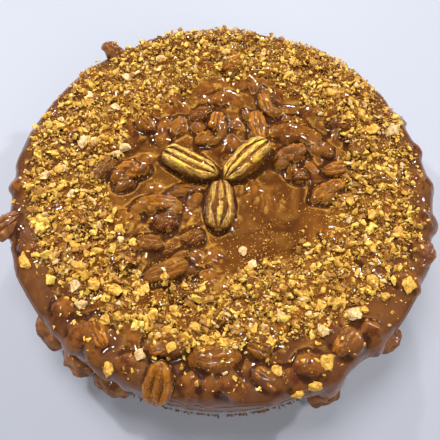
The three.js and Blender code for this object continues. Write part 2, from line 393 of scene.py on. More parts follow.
# nuts wholly under the caramel: x, y, depth below the top, turn, length, width, thickness
hiddenNuts = [
    (0, -96, 1.5, 8, 24, 17, 9), (40, 35, 2.0, -5, 30, 12, 9), (36, 44, 3, 5, 16, 8, 7),
    (34, 50, 3, 0, 14, 7, 7), (-68, 18, 2.5, 10, 15, 11, 9), (35, -58, 3, 20, 18, 9, 8),
    (-36, 35, 3, 40, 11, 9, 8), (-27, 36, 3, 60, 12, 10, 8), (-16, 36, 3, 20, 9, 8, 8),
    (-36, 26, 3.4, 0, 9, 8, 8), (5, 25, 3.4, 30, 9, 8, 7), (-5, 57, 3, 10, 14, 10, 8),
    (-31, 56, 3.4, 80, 10, 8, 8), (12, 72, 3, 70, 14, 9, 8), (16, 68, 2.6, 80, 12, 8, 8),
    (24, 80, 3, 30, 14, 9, 8), (-15, -11, 3.6, 40, 9, 7, 7), (-13, -44, 3.4, 20, 10, 8, 7),
    (-15, -77, 3, 30, 13, 11, 8), (18, -4, 3.6, 0, 9, 8, 7), (-40, -70, 3, 30, 20, 10, 8),
    (62, -30, 3.4, -20, 20, 10, 8), (-80, -30, 3, 60, 20, 11, 9), (30, -80, 3, 60, 18, 10, 8),
    (-60, -60, 3, -30, 16, 10, 8), (-5, -55, 3.6, 0, 12, 8, 7), (88, -10, 3, 80, 18, 10, 9),
    (-88, 30, 3, 80, 18, 11, 9), (48, -45, 3.8, 30, 14, 9, 7), (-62, 55, 3, -40, 22, 12, 9),
    (66, 62, 3, 40, 22, 12, 9), (-5, 92, 3, 0, 22, 12, 9), (-45, 12, 4, 20, 10, 8, 7),
    (28, -12, 4, 70, 9, 7, 6), (50, 30, 3.2, 60, 10, 9, 8), (-48, -24, 3.6, 10, 12, 8, 7),
]
# nuts under the caramel at the rim: bearing, distance out, height, tilt, turn, length, width, thickness
rimBulges = [
    (-95.5, 110.5, 53, -48, 4, 19, 11, 8), (-91, 111, 52, -55, -6, 20, 9, 8),
    (-84, 109.5, 54, -42, 62, 19, 11, 9), (-75, 110.5, 53, -42, -30, 19, 12, 8),
    (-68.5, 112, 51, -40, 50, 22, 11, 9), (-61, 115.5, 45, -66, 10, 25, 15, 12),
    (-52.5, 109, 54, -35, -40, 18, 11, 9), (-46, 112.5, 50, -52, -14, 24, 12, 10),
    (-111.5, 111, 51, -56, 22, 22, 12, 8), (-119, 112, 51, -36, 66, 24, 11, 9),
    (-127, 111, 53, -42, -24, 24, 13, 9), (-134, 109, 53.5, -38, 30, 20, 12, 9),
    (-88, 107, 56, -20, -70, 16, 10, 8), (-64, 107, 55.5, -24, 70, 20, 11, 9),
    (-153, 109.5, 54, -30, 20, 20, 12, 9), (-176, 110, 54, -30, -20, 20, 12, 9),
    (-18, 112, 52, -50, 10, 18, 12, 9), (-8, 111.5, 53, -40, 0, 22, 13, 9),
    (4, 111.5, 52, -44, -10, 22, 14, 9), (15, 110.5, 54, -30, 10, 18, 12, 9),
    (27, 111, 53, -38, 0, 20, 12, 9), (-28, 110, 54, -32, 0, 18, 12, 9),
]
# further nuts under the caramel that are strewn at random, each with its least and greatest half sizes
strewnNuts = {
    'lap': ((2.6, 5.2), (1.6, 2.9), (2.0, 3.0)),       # caramel lying over part of a glazed nut
    'buried': ((8, 14), (5, 7), (3.6, 4.6)), 'buriedCount': 70,
    'bit': ((2, 4.6), (1.5, 2.8), (1.4, 2.2)), 'bitCount': 170,
    'smooth': [(34, -26, 27, 20), (-12, -34, 10, 10)],     # pools without bits: x, y, reach along x and y
    'backBearings': range(38, 180, 9),
}


def lowerEdge(bearing):
    wave = 1.2 * np.sin(np.radians(7 * bearing)) + 0.9 * np.sin(np.radians(13 * bearing)) \
        + 0.5 * np.sin(np.radians(29 * bearing + 40))
    usual = caramelShape['edge']
    edge = np.full_like(bearing, 50.0)
    for at, half, low in caramelShape['drips']:
        reach = np.exp(-np.abs(turnApart(bearing, at) / half) ** 3)
        edge = np.minimum(edge, usual + wave - (usual - low) * reach)
    for at, half in caramelShape['bare']:
        held = np.clip((half + 3 - np.abs(turnApart(bearing, at))) / 3, 0, 1)
        held = held * held * (3 - 2 * held)
        edge += (collarHigh[2] + 0.4 - edge) * held
    return edge


def outerRadius(bearing):
    wave = 0.4 * np.sin(np.radians(9 * bearing)) + 0.3 * np.sin(np.radians(17 * bearing + 60))
    radius = caramelShape['outer'] + wave
    for at, half, rise in caramelShape['rimSwells']:
        radius = radius + rise * swell(turnApart(bearing, at), half)
    return radius


def baseTop(x, y):
    return caramelShape['top'] + 0.45 * waves(x, y, 46, 3, 2)


def discGrid(cells, radius):
    # a square grid laid over a disc, and its outline in order of bearing
    line = np.linspace(-1, 1, cells + 1)
    a, b = np.meshgrid(line, line, indexing='ij')
    wide = np.abs(a) > np.abs(b)
    safeA, safeB = np.where(wide, a, 1), np.where(wide | (b == 0), 1, b)
    reach = np.where(wide, a, b) * radius
    turn = np.where(wide, pi / 4 * b / safeA, pi / 2 - pi / 4 * a / safeB)
    x, y = (reach * np.cos(turn)).ravel(), (reach * np.sin(turn)).ravel()
    index = np.arange((cells + 1) ** 2).reshape(cells + 1, cells + 1)
    faces = np.stack([index[:-1, :-1], index[1:, :-1], index[1:, 1:], index[:-1, 1:]], -1).reshape(-1, 4)
    edge = np.concatenate([index[0], index[-1], index[1:-1, 0], index[1:-1, -1]])
    edge = edge[np.argsort(np.arctan2(y[edge], x[edge]))]
    return x, y, faces.tolist(), edge


def caramelSkin():
    shape = caramelShape
    x, y, faces, edge = discGrid(shape['cells'], shape['discRadius'])
    rimTurn = np.arctan2(y[edge], x[edge])
    bearing = np.degrees(rimTurn)
    outer, low = outerRadius(bearing), lowerEdge(bearing)
    start, floor, soft = shape['discRadius'], shape['floor'], shape['shoulder']
    rimTop = baseTop(x[edge], y[edge])
    places = [np.stack([x, y, baseTop(x, y)], 1)]
    outward = [np.tile([0.0, 0.0, 1.0], (len(x), 1))]
    inset = np.clip((shape['discRadius'] - np.hypot(x, y)) / 14, 0, 1)
    lean = (1 - inset) ** 2 * 0.25
    for axis, along in enumerate((x, y)):
        outward[0][:, axis] = lean * along / np.maximum(np.hypot(x, y), 1)
    free = [np.ones(len(x))]
    waist = np.maximum(rimTop - soft, low + 2.2)

    def ring(radius, height, side, up, loose):
        places.append(aroundAxis(radius, rimTurn, height))
        outward.append(aroundAxis(side, rimTurn, up))
        free.append(np.full(len(edge), loose))

    for step in range(1, shape['shoulderRings'] + 1):
        turn = pi / 2 * step / shape['shoulderRings']
        ring(start + (outer - start) * sin(turn), rimTop - (rimTop - waist) * (1 - cos(turn)),
             0.25 + 0.75 * sin(turn), cos(turn), 1.0)
    curl = shape['lip']
    bead = 0.5 * np.clip((44 - low) / 12, 0, 1)      # a long drip grows thicker towards its end
    for step in range(1, shape['wallRings'] + 1):
        part = step / shape['wallRings']
        fat = 0.5 * np.sin(pi * part) + bead * part ** 2
        ring(outer + fat, waist + (low + curl - waist) * part, 1.0, 0.0, 1.0)
    lip = outer + bead
    thick = (lip - shape['inner']) / 2
    for step in range(1, 6):
        turn = pi * step / 6
        height = low + curl - curl * sin(turn)
        ring(lip - thick * (1 - cos(turn)), height, 1.0, 0.0, 0.6 if step < 3 else 0.0)
    ring(shape['inner'], np.minimum(low + curl, floor - 0.3), 0.0, 0.0, 0.0)
    ring(shape['inner'], floor, 0.0, 0.0, 0.0)
    ring(60.0, floor, 0.0, 0.0, 0.0)
    count = len(edge)
    rings = len(places) - 1
    gridCount = len(x)
    step = np.arange(count)
    after = (step + 1) % count
    faces += np.stack([edge[step], gridCount + step, gridCount + after, edge[after]], 1).tolist()
    faces += stripFaces(rings, count, gridCount)
    last = gridCount + (rings - 1) * count
    middle = gridCount + rings * count
    faces += [[last + a, middle, last + b] for a, b in zip(step.tolist(), after.tolist())]
    places.append(np.array([[0, 0, floor]]))
    outward.append(np.zeros((1, 3)))
    free.append(np.zeros(1))
    outward = np.vstack(outward)
    outward /= np.maximum(np.linalg.norm(outward, axis=1, keepdims=True), 1e-6)
    return np.vstack(places), outward, np.concatenate(free), faces


def flatAxes(turn):
    return np.array([[cos(turn), sin(turn), 0], [-sin(turn), cos(turn), 0], [0, 0, 1]])


def drawn(draw, spans):
    # one number from each span
    return np.array([draw.uniform(*span) for span in spans])


def nutRounds():
    # each nut as an egg the caramel closes round: middle, axes, radii, and 0 bare, 0.5 a lap, 1 under it
    strewn, top = strewnNuts, caramelShape['top']
    rounds = []
    for nut in glazedNuts + gildedNuts:
        rounds.append((nut['middle'], nut['axes'], nut['size'] / 2 - np.array([0.2, 0.2, 0.45]), 0))
    draw = random.Random(23)
    for nut in glazedNuts:
        long, wide, up = nut['axes']
        for _ in range(2 if nut['size'][0] > 15 else 1):
            spot = nut['middle'] + long * nut['size'][0] * draw.uniform(-0.5, 0.5) \
                + wide * nut['size'][1] * draw.choice((-0.42, 0.42)) * draw.uniform(0.75, 1.25)
            spot = spot + up * nut['size'][2] * draw.uniform(-0.1, 0.16)
            turn = draw.uniform(-0.5, 0.5)
            first = long * cos(turn) + wide * sin(turn)
            axes = np.array([first, np.cross(up, first), up])
            rounds.append((spot, axes, drawn(draw, strewn['lap']), 0.5))
    for nut in rimNuts:
        if nut['middle'][2] > 45:
            bared = 1.6 if nut['node'] == 'rim_pecan_1' else 0.9
            rounds.append((nut['middle'], nut['axes'], nut['size'] / 2 - bared, 0))
    for x, y, deep, turn, *size in hiddenNuts:
        middle = np.array([x, y, top - deep + 2.0])
        rounds.append((middle, flatAxes(radians(turn)), np.array(size) / 2, 1))
    draw = random.Random(11)
    for k in range(strewn['buriedCount']):
        turn = 2 * pi * k * 0.618 + draw.uniform(-0.15, 0.15)
        reach = draw.uniform(56, 108)
        axes = flatAxes(draw.uniform(0, pi))
        height = top - draw.uniform(2.2, 3.8) - max(0, reach - 100) * 0.35
        rounds.append((aroundAxis(reach, turn, height), axes, drawn(draw, strewn['buried']), 1))
    for _ in range(strewn['bitCount']):
        turn, reach = draw.uniform(0, 2 * pi), 100 * draw.random() ** 0.55
        x, y = reach * cos(turn), reach * sin(turn)
        if any(hypot((x - a) / wide, (y - b) / deep) < 1 for a, b, wide, deep in strewn['smooth']):
            continue
        axes = flatAxes(draw.uniform(0, pi))
        radii = drawn(draw, strewn['bit'])
        rounds.append((np.array([x, y, top - draw.uniform(0.2, 1.5)]), axes, radii, 1))
    bulges = list(rimBulges)
    for at in strewn['backBearings']:
        bulges.append((at + draw.uniform(-3, 3), 108.6 + draw.uniform(0, 1.4), draw.uniform(51, 54),
                       draw.uniform(-50, -30), draw.uniform(-25, 25), draw.uniform(16, 23),
                       draw.uniform(11, 14), 9.5))
    for at, out, high, tilt, aside, *size in bulges:
        turn, lean = radians(at + aside), radians(tilt)
        long = aroundAxis(cos(lean), turn, sin(lean))
        wide = np.array([-sin(turn), cos(turn), 0])
        axes = np.array([long, wide, np.cross(long, wide)])
        rounds.append((aroundAxis(out, radians(at), high), axes, np.array(size) / 2, 1))
    return rounds


def wrapNuts(places, outward, free, rounds):
    # walk in from outside along each point's way out until the blended skin is met
    pairs = []
    for index, (middle, _, radii, _) in enumerate(rounds):
        near = np.nonzero((np.linalg.norm(places - middle, axis=1) < radii.max() + 15) & (free > 0))[0]
        pairs.append((near, index))
    points = np.concatenate([near for near, _ in pairs])
    owner = np.concatenate([np.full(len(near), index) for near, index in pairs])
    middles, axes, radii, coated = (np.array(column)[owner] for column in zip(*rounds))
    sunk, furthest = caramelShape['reach']
    rim = np.clip((np.hypot(places[:, 0], places[:, 1]) - 103) / 6, 0, 1)
    blend = caramelShape['blend'] + (caramelShape['softBlend'] - caramelShape['blend']) * rim
    unevenness = 1 + 0.07 * ripples(places, 9, 31)
    travel = np.where(free > 0, furthest, 0.0)
    for _ in range(46):
        here = places[points] + outward[points] * travel[points, None]
        local = np.einsum('nij,nj->ni', axes, here - middles)
        inner = np.linalg.norm(local / radii, axis=1)
        steep = np.maximum(np.linalg.norm(local / radii ** 2, axis=1), 1e-6)
        gap = inner * (inner - unevenness[points]) / steep
        weight = np.exp(-np.clip(gap, -12, 40) / blend[points])
        total = np.exp(-travel / blend) + np.bincount(points, weight, len(places))
        travel = np.clip(travel + 0.75 * blend * np.log(np.maximum(total, 1e-12)), sunk, furthest)
    travel = travel * free
    thin = np.zeros(len(places))
    np.maximum.at(thin, points, np.exp(-np.abs(gap) / 0.7) * (coated == 1))
    return places + outward * travel[:, None], travel, thin


rounds = nutRounds()
places, outward, free, caramelFaces = caramelSkin()
skin, travel, thin = wrapNuts(places, outward, free, rounds)
fine = 0.1 * waves(skin[:, 0], skin[:, 1] + skin[:, 2], 17, 5, 2)
skin = skin + outward * (fine * free)[:, None]


def hollows(faces, height, rounds=9):
    # where the skin lies below its surroundings, and where above
    quads = np.array([face for face in faces if len(face) == 4])
    ends = np.concatenate([quads[:, [0, 1]], quads[:, [1, 2]]])
    first, second = np.concatenate([ends[:, 0], ends[:, 1]]), np.concatenate([ends[:, 1], ends[:, 0]])
    many = np.maximum(np.bincount(first, minlength=len(height)), 1)
    soft = height.copy()
    for _ in range(rounds):
        soft = 0.3 * soft + 0.7 * np.bincount(first, soft[second], len(height)) / many
    return np.clip((soft - height) / 0.3, 0, 1), np.clip((height - soft) / 0.5, 0, 1)


crumbField = {
    # bearing: inner edge, outer edge, how thickly strewn
    0: (66, 106, 0.7), 20: (74, 113, 0.75), 40: (74, 114, 0.9), 60: (72, 113, 0.95),
    80: (78, 113, 0.95), 100: (72, 113, 0.95), 120: (64, 113, 0.9), 140: (62, 113, 0.82),
    160: (62, 112, 0.78), 180: (66, 110, 0.8), 200: (62, 106, 0.78), 220: (62, 101, 0.78),
    240: (64, 96, 0.82), 260: (64, 95, 0.9), 280: (54, 93, 0.9), 300: (50, 98, 0.85),
    320: (56, 101, 0.9), 340: (60, 109, 0.78),
}


def crumbThickness(x, y):
    bearing = np.degrees(np.arctan2(y, x)) % 360
    reach = np.hypot(x, y)
    at = np.array(sorted(crumbField) + [360])
    table = np.array([crumbField[b % 360] for b in at])
    inner, outer, much = (np.interp(bearing, at, table[:, k]) for k in range(3))
    patch = waves(x, y, 26, 21, 2)
    grain = waves(x, y, 9, 22, 2)
    inside = np.clip((reach - inner + 6 * patch + 4) / 9, 0, 1)
    outside = np.clip((outer - reach + 3 * patch + 1) / 5, 0, 1)
    band = inside * outside * much * np.clip(0.75 + 0.8 * grain, 0.12, 1)
    atRim = np.clip((reach - 92) / 8, 0, 1) * (y < 20)
    sparse = (0.07 + 0.17 * atRim) * np.clip((reach - 34) / 34, 0, 1) * np.clip((115 - reach) / 4, 0, 1)
    dust = 0.95 * swell(np.hypot(x - 24, (y + 50) * 1.1), 22) * np.clip(0.6 + grain, 0, 1.4) \
        + 0.1 * np.clip(0.35 + 0.8 * grain, 0, 1) * np.clip((112 - reach) / 10, 0, 1)
    return band, sparse, dust


band, sparse, dust = crumbThickness(skin[:, 0], skin[:, 1])
onTop = np.clip((outward[:, 2] - 0.35) / 0.3, 0, 1)
hollow, crest = hollows(caramelFaces, travel)
# coarse pieces lie mostly at the front and left, but the front heap is nearly all fine crumb
nearer = np.clip(0.75 - skin[:, 1] / 160 - skin[:, 0] / 500, 0.25, 1.4)
heaped = swell(np.hypot(skin[:, 0], skin[:, 1] + 80), 26)
caramelValues = {
    'thin': thin, 'hollow': hollow, 'crest': crest,
    'strewn': band * onTop, 'sparse': sparse * onTop,
    'rough': band * onTop * nearer * (1 - 0.7 * heaped),
    'dust': np.maximum(dust, 0.3 * band) * onTop,
}
caramelPiece = makePiece('caramelTop', skin, caramelFaces, ['caramel'], caramelValues)
print('caramel', len(skin), 'points')


# how far a nut shows its lobed inner face
crinkled = {'glazed_pecan_4': 0.7, 'glazed_pecan_31': 0.8, 'glazed_pecan_12': 0.4, 'glazed_pecan_28': 0.9,
            'rim_pecan_1': 0.12, 'glazed_pecan_36': 0.6, 'glazed_pecan_21': 0.3}
# how a nut shows: 0 dark red under deep glaze, 0.5 caramel coloured, 1 warm orange
shownTone = {'rim_pecan_1': 1.0, 'gilded_pecan_1': 0.95, 'gilded_pecan_2': 0.7, 'gilded_pecan_3': 0.1}
glazedTones = {
    0.05: (32,), 0.1: (13, 18, 33, 36), 0.15: (7,), 0.2: (15,), 0.3: (20,), 0.5: (3, 17), 0.6: (14,),
    0.62: (16,), 0.65: (8,), 0.7: (5, 22, 24), 0.75: (25,), 0.8: (2, 9, 29), 0.9: (6, 12, 21, 26),
    0.95: (1, 31), 1.0: (4, 28),
}
for tone, numbers in glazedTones.items():
    for number in numbers:
        shownTone[f'glazed_pecan_{number}'] = tone


def pecanPiece(name, nuts, slot, seed, **form):
    parts = []
    for k, nut in enumerate(nuts):
        node = nut['node']
        given = {'crinkle': crinkled.get(node, 0.0), 'tone': shownTone.get(node, 0.4), **form}
        if nut['size'][0] < 14.5 and 'mesh' not in form:    # a broken piece: blunter and more uneven
            given.update(blunt=4.0, lumpy=0.6)
        parts.append(pecanMesh(nut, seed + k, **given))
    points, faces, values = joinParts(parts)
    return makePiece(name, points, faces, [nut['node'] for nut in nuts], values)


gildedPiece = pecanPiece('gildedPecans', gildedNuts, 'gilded_pecan', 40, blunt=4.2, egg=0.14, lumpy=0.42,
                         mesh=(70, 84), groovesAt=0.33, groovesWide=0.1)
glazedPiece = pecanPiece('glazedPecans', glazedNuts, 'glazed_pecan', 60)
coatedNuts = [nut for nut in rimNuts if nut['node'] != 'rim_pecan_1']
overRim = [nut for nut in rimNuts if nut['node'] == 'rim_pecan_1']
overRimPiece = pecanPiece('overRimPecan', overRim, 'glazed_pecan', 90)
coatedPiece = pecanPiece('coatedPecans', coatedNuts, 'rim_pecan', 110, lumpy=0.7, tone=0.45)
print('pecans made')


def brokenNut(seed, corners=11, flat=0.62):
    # a sharp many-sided lump about one unit across
    draw = random.Random(seed)
    shape = bmesh.new()
    for _ in range(corners):
        way = Vector((draw.gauss(0, 1), draw.gauss(0, 1), draw.gauss(0, 1))).normalized()
        way *= draw.uniform(0.42, 0.54)
        shape.verts.new((way.x, way.y * draw.uniform(0.7, 1), way.z * flat))
    bmesh.ops.convex_hull(shape, input=shape.verts)
    bmesh.ops.delete(shape, geom=[v for v in shape.verts if not v.link_faces], context='VERTS')
    bmesh.ops.recalc_face_normals(shape, faces=shape.faces)
    return shape


def facesOf(shape):
    # the corner numbers of each face, and the shape is done with
    shape.verts.index_update()
    faces = [[vert.index for vert in face.verts] for face in shape.faces]
    shape.free()
    return faces


def chunkMesh(nut, seed, tone):
    # a lump of chopped nut: a hull of scattered corners, its faces roughened
    shape = brokenNut(seed, 16, 0.8)
    bmesh.ops.subdivide_edges(shape, edges=shape.edges, cuts=2, use_grid_fill=True)
    bmesh.ops.triangulate(shape, faces=shape.faces)
    for vert in shape.verts:
        spot = vert.co * 5 + Vector((seed * 3.1, 0, 0))
        vert.co += vert.co.normalized() * 0.11 * noise.noise(spot)
    points = np.array([vert.co[:] for vert in shape.verts])
    low, high = points.min(0), points.max(0)
    points = (points - (low + high) / 2) / (high - low) * nut['size']
    faces = facesOf(shape)
    return points @ nut['axes'] + nut['middle'], faces, {'tone': np.full(len(points), tone)}


creamChunks = {'nut_chunk_2': 1.0, 'nut_chunk_3': 0.9, 'nut_chunk_6': 1.0, 'nut_chunk_8': 0.95}
points, faces, values = joinParts([
    chunkMesh(nut, 30 + k, creamChunks.get(nut['node'], 0.35)) for k, nut in enumerate(chunkNuts)])
chunkPiece = makePiece('nutChunks', points, faces, [nut['node'] for nut in chunkNuts], values,
                       smooth=False)

# larger loose pieces of the topping: x, y, size, tone (0.31 tan, 0.39 gold, 0.78 bright gold, 0.98 cream)
largeCrumbs = [
    (-74, 22, 6, 0.98), (-60, 14, 6.5, 0.98), (12, -40, 6.2, 0.98), (17, -47, 5.6, 0.98),
    (-45, -39, 6, 0.39), (-52, -32, 6.5, 0.39), (-65, 46, 6, 0.98), (-61, 69, 6.5, 0.98),
    (-48, -103, 8, 0.31), (-35, -96, 6, 0.98), (52, -80, 7.5, 0.98), (60, -66, 8, 0.31), (31, -74, 7, 0.98),
    (26, -88, 7, 0.39), (48, -105, 7, 0.31), (39, -109, 7, 0.39), (30, -100, 6, 0.31), (-47, -78, 7, 0.31),
    (-10, -81, 7, 0.31), (-96, 29, 7, 0.31), (-80, 20, 8, 0.98), (-97, -3, 7, 0.98), (-91, 3, 7, 0.31),
    (-94, -33, 8, 0.78), (-88, -48, 7, 0.78), (-71, -65, 7, 0.98), (-70, -55, 8, 0.31), (-61, -63, 7, 0.31),
    (-51, -65, 8, 0.39), (-66, -73, 7, 0.98), (-54, -81, 7, 0.31), (-83, -61, 7, 0.78), (69, -8, 7, 0.31),
    (80, -16, 7, 0.31), (61, -44, 6, 0.31), (79, -35, 7, 0.39), (94, -24, 7, 0.31), (5, -90, 7, 0.31),
    (-23, -85, 7, 0.31), (-31, -76, 6, 0.39), (78, -53, 7, 0.31), (84, -61, 7, 0.31), (43, -64, 6, 0.98),
    (-62, -45, 6, 0.31), (-79, -39, 6, 0.31), (-43, 84, 6, 0.98), (-16, 98, 6, 0.31), (20, 88, 6, 0.31),
    (61, 64, 7, 0.31), (79, 50, 7, 0.31), (-81, 54, 6, 0.98),
]


def largeCrumb(x, y, size, tone, seed):
    draw = random.Random(seed)
    spin, tip = draw.uniform(0, 2 * pi), draw.uniform(-0.4, 0.4)
    near = np.argmin(np.hypot(skin[:, 0] - x, skin[:, 1] - y) + 5 * (outward[:, 2] < 0.2))
    long = aroundAxis(cos(tip), spin, sin(tip))
    wide = np.cross(outward[near], long)
    wide /= np.linalg.norm(wide)
    axes = np.array([long, wide, np.cross(long, wide)])
    sides = size * np.array([1.0, draw.uniform(0.65, 0.9), draw.uniform(0.4, 0.6)])
    nut = {'middle': skin[near] + outward[near] * size * 0.2, 'axes': axes, 'size': sides}
    return chunkMesh(nut, seed, tone)


points, faces, values = joinParts([largeCrumb(*row, 200 + k) for k, row in enumerate(largeCrumbs)])
largePiece = makePiece('largeCrumbs', points, faces, [], values, smooth=False)

# what is strewn, in millimetres: corners of a lump, pieces per square millimetre, least and greatest size,
# height of the heap, and the cover that it follows
crumbKinds = {
    'crumbFlour': {'corners': 6, 'density': 0.8, 'size': (0.5, 1.6), 'heap': 0.4, 'cover': 'dust'},
    'crumbFine': {'corners': 6, 'density': 1.25, 'size': (0.6, 2.1), 'heap': 1.6, 'cover': 'strewn'},
    'crumbMedium': {'corners': 12, 'density': 0.23, 'size': (2.0, 4.8), 'heap': 2.4, 'cover': 'strewn'},
    'crumbCoarse': {'corners': 16, 'density': 0.04, 'size': (4.0, 7.0), 'heap': 2.6, 'cover': 'rough'},
    'crumbStray': {'corners': 9, 'density': 0.15, 'size': (0.8, 4.0), 'heap': 0.2, 'cover': 'sparse'},
}


def crumbTree(kind, cover, lumps, finish):
    tree = bpy.data.node_groups.new(kind, 'GeometryNodeTree')
    face = tree.interface
    face.new_socket('Geometry', in_out='INPUT', socket_type='NodeSocketGeometry')
    for label in ('Density', 'Small', 'Large', 'Heap'):
        face.new_socket(label, in_out='INPUT', socket_type='NodeSocketFloat')
    face.new_socket('Seed', in_out='INPUT', socket_type='NodeSocketInt')
    face.new_socket('Geometry', in_out='OUTPUT', socket_type='NodeSocketGeometry')

    def add(nodeKind, settings, inputs, output=0):
        made = tree.nodes.new(nodeKind)
        for key, value in settings.items():
            setattr(made, key, value)
        for key, value in inputs.items():
            if isinstance(value, bpy.types.NodeSocket):
                tree.links.new(value, made.inputs[key])
            else:
                made.inputs[key].default_value = value
        return made.outputs[output]

    def number(seed, low, high):
        # one number for each crumb
        return add('FunctionNodeRandomValue', {'data_type': 'FLOAT'}, {2: low, 3: high, 'Seed': seed}, 1)

    def vector(seed, low, high):
        return add('FunctionNodeRandomValue', {'data_type': 'FLOAT_VECTOR'}, {0: low, 1: high, 'Seed': seed})

    source = tree.nodes.new('NodeGroupInput').outputs
    where = add('GeometryNodeInputNamedAttribute', {'data_type': 'FLOAT'}, {'Name': cover}, 'Attribute')
    thick = add('ShaderNodeMath', {'operation': 'MULTIPLY'}, {0: where, 1: source['Density']})
    spread = add('GeometryNodeDistributePointsOnFaces', {}, {
        'Mesh': source['Geometry'], 'Density': thick, 'Seed': source['Seed']})
    lift = number(3, 0.0, source['Heap'])
    raised = add('ShaderNodeVectorMath', {'operation': 'SCALE'}, {
        0: spread.node.outputs['Normal'], 'Scale': lift})
    moved = add('GeometryNodeSetPosition', {}, {'Geometry': spread, 'Offset': raised})
    many = add('GeometryNodeCollectionInfo', {}, {
        'Collection': lumps, 'Separate Children': True, 'Reset Children': True})
    spin = vector(5, (-0.7, -0.7, 0.0), (0.7, 0.7, 6.283))
    skew = add('ShaderNodeMath', {'operation': 'POWER'}, {0: number(7, 0.0, 1.0), 1: 1.8})
    size = add('ShaderNodeMapRange', {}, {
        'Value': skew, 'To Min': source['Small'], 'To Max': source['Large']})
    slim = vector(9, (0.8, 0.6, 0.6), (1.25, 1.0, 1.1))
    scale = add('ShaderNodeVectorMath', {'operation': 'SCALE'}, {0: slim, 'Scale': size})
    strewn = add('GeometryNodeInstanceOnPoints', {}, {
        'Points': moved, 'Instance': many, 'Pick Instance': True, 'Rotation': spin, 'Scale': scale})
    named = add('GeometryNodeStoreNamedAttribute', {'data_type': 'FLOAT', 'domain': 'INSTANCE'}, {
        'Geometry': strewn, 'Name': 'tone', 'Value': number(13, 0.0, 1.0)})
    real = add('GeometryNodeRealizeInstances', {}, {'Geometry': named})
    painted = add('GeometryNodeSetMaterial', {}, {'Geometry': real, 'Material': finish})
    tree.links.new(painted, tree.nodes.new('NodeGroupOutput').inputs[0])
    return tree


def strewCrumbs(kind, facts, ground, finish, seed):
    lumps = bpy.data.collections.new(kind + 'Lumps')
    bpy.context.scene.collection.children.link(lumps)
    for k in range(6):
        shape = brokenNut(seed * 10 + k, facts['corners'])
        mesh = bpy.data.meshes.new(f'{kind}Lump{k}')
        shape.to_mesh(mesh)
        shape.free()
        lumps.objects.link(bpy.data.objects.new(mesh.name, mesh))
    tree = crumbTree(kind, facts['cover'], lumps, finish)
    carrier = addObject(kind + 'Carrier', ground.copy())
    modifier = carrier.modifiers.new('strew', 'NODES')
    modifier.node_group = tree
    small, large = facts['size']
    given = {'Density': facts['density'] / mm ** 2, 'Small': small * mm, 'Large': large * mm,
             'Heap': facts['heap'] * mm, 'Seed': seed}
    for item in tree.interface.items_tree:
        if item.in_out == 'INPUT' and item.name in given:
            modifier[item.identifier] = given[item.name]
    shown = carrier.evaluated_get(bpy.context.evaluated_depsgraph_get())
    result = bpy.data.meshes.new_from_object(shown)
    bpy.data.objects.remove(carrier)
    for lump in list(lumps.objects):
        bpy.data.objects.remove(lump)
    bpy.data.collections.remove(lumps)
    result.name = kind
    settle(addObject(kind, result))
    print(kind, len(result.polygons), 'faces')


sideShape = {'columns': 420, 'crumbDepth': 0.9, 'looseCrumbs': 420}
crustLow, crustHigh = boxOf('crust')


def turnedSkin(name, profile, node, wobble):
    # profile: radius, height and unevenness, from the middle of the underside round to the middle of the top
    count = sideShape['columns']
    turn = np.linspace(0, 2 * pi, count, endpoint=False)
    places = []
    for radius, height, rough in profile[1:-1]:
        shift = wobble(turn, height) * rough
        places.append(aroundAxis(radius + shift, turn, height + 0.3 * shift * (0 < height)))
    rings = len(places)
    points = np.vstack(places + [[[0, 0, profile[0][1]], [0, 0, profile[-1][1]]]])
    bottom, top = rings * count, rings * count + 1
    faces = [[a, d, c, b] for a, b, c, d in stripFaces(rings, count)]
    for step in range(count):
        after = (step + 1) % count
        faces.append([bottom, after, step])
        faces.append([top, (rings - 1) * count + step, (rings - 1) * count + after])
    return makePiece(name, points, faces, [node])


def crumbly(turn, height):
    uneven = waves(turn * 113, np.full_like(turn, height * 3), 5, int(height * 10) + 1)
    return sideShape['crumbDepth'] * (0.6 * uneven - 0.35)


def smoothSide(turn, height):
    return 0.18 * waves(turn * 113, np.full_like(turn, height), 40, 8, 2) - 0.1


radius, low, high = crustHigh[0], crustLow[2], crustHigh[2]
crustPiece = turnedSkin('crumbBase', [
    (0, low, 0), (80, low, 0), (radius - 1.6, low, 0), (radius - 0.5, low + 0.5, 1), (radius, low + 1.4, 1),
    (radius, low + 2.6, 1), (radius, low + 3.8, 1), (radius, high - 1.4, 1), (radius - 0.4, high - 0.5, 1),
    (radius - 1.5, high, 0.3), (80, high, 0), (0, high, 0)], 'crust', crumbly)
radius, low, high = fillingHigh[0], fillingLow[2], fillingHigh[2]
sideHeights = np.linspace(low + 1.2, high - 1.2, 9)
fillingPiece = turnedSkin('fillingBody', [
    (0, low, 0), (80, low, 0), (radius - 1.2, low, 0), *((radius, height, 1) for height in sideHeights),
    (radius - 1.2, high, 0), (80, high, 0), (0, high, 0)], 'filling', smoothSide)

collarShape = {'start': -149, 'span': 364.5, 'steps': 500, 'springsAt': 353, 'thickness': 0.4}


